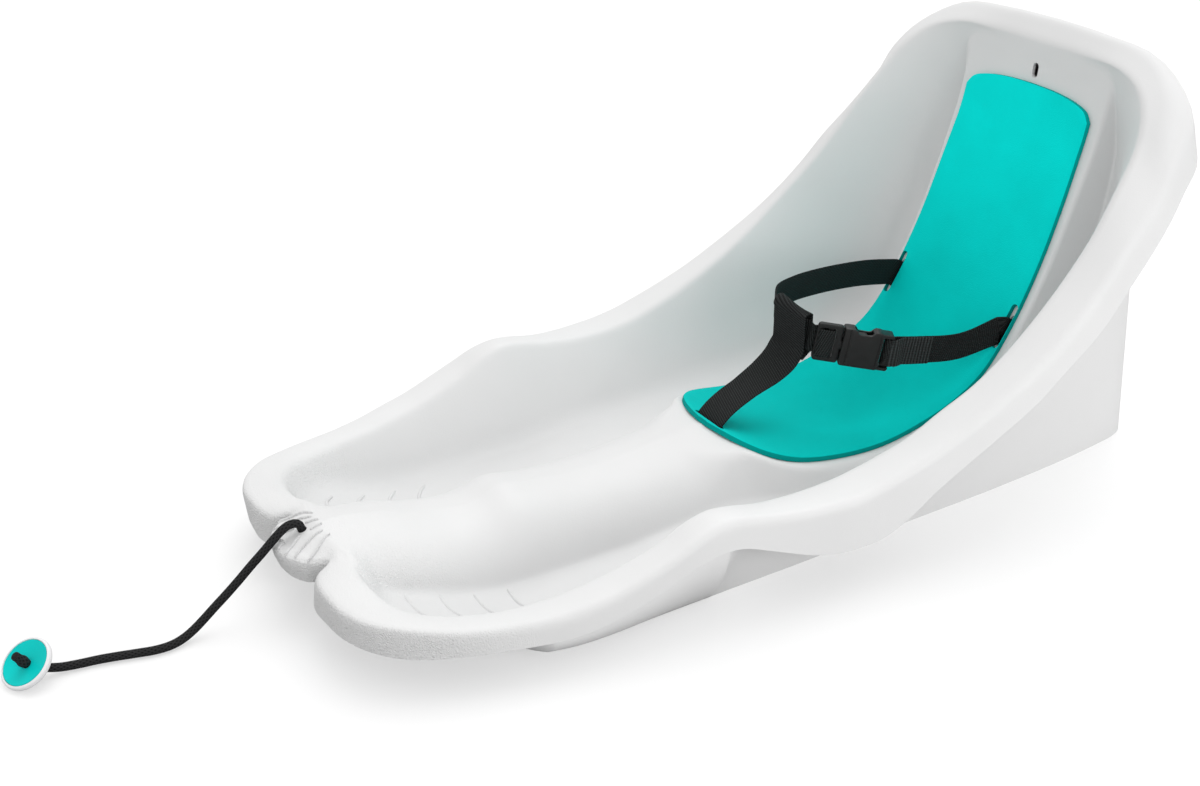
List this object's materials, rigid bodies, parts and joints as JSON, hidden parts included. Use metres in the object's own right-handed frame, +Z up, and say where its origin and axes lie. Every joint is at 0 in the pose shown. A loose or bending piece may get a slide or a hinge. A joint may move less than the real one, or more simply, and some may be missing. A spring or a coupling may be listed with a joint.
{
  "type": "baby pull sled",
  "caption": "Moulded pull sled for a small child: high-backed seat shell with two leg troughs, foam pad, three-point lap belt with a side-release buckle, and a pull rope with a disc handle.",
  "frame": {"origin": "middle of the moulded shell's box on the ground that it stands on", "axes": "+Z up, -Y towards the nose that is pulled, +X to the sitting child's left"},
  "size_m": [0.4, 0.9697, 0.3537],
  "materials": {
    "shell": "satin",
    "pad": "soft foam with a fine grain",
    "web": "ribbed webbing",
    "buckle": "satin",
    "stop": "plain",
    "rope": "braided",
    "disc": "satin",
    "face": "matte"
  },
  "bodies": {
    "sled": {"sled_shell": "shell", "seat_pad": "pad", "lap_strap_right": "web", "lap_strap_left": "web", "crotch_strap": "web", "buckle_plug": "buckle", "strap_stop_right": "stop", "strap_stop_left": "stop", "strap_stop_crotch": "stop", "pull_rope": "rope", "nose_knot": "rope", "handle_disc": "disc", "handle_face": "face", "handle_knot": "rope"},
    "socket": {"buckle_socket": "buckle"},
    "arm_upper": {"plug_arm_upper": "buckle"},
    "arm_lower": {"plug_arm_lower": "buckle"}
  },
  "joints": [
    {"name": "buckle_release", "type": "slide", "parent": "sled", "child": "socket", "axis": [0.499, 0.8506, -0.1658], "range_m": [0, 0.024], "deforming": ["lap_strap_left"]},
    {"name": "arm_press_upper", "type": "hinge", "parent": "sled", "child": "arm_upper", "pos_m": [0.03645, 0.10968, 0.12682], "axis": [-0.8626, 0.5059, 0], "range_deg": [0, 5], "stiffness_Nm_per_rad": 0.5},
    {"name": "arm_press_lower", "type": "hinge", "parent": "sled", "child": "arm_lower", "pos_m": [0.0348, 0.10686, 0.10739], "axis": [-0.8626, 0.5059, 0], "range_deg": [-5, 0], "stiffness_Nm_per_rad": 0.5}
  ],
  "couplings": [
    {"joint": "arm_press_lower", "follows": "arm_press_upper", "ratio": -1}
  ]
}
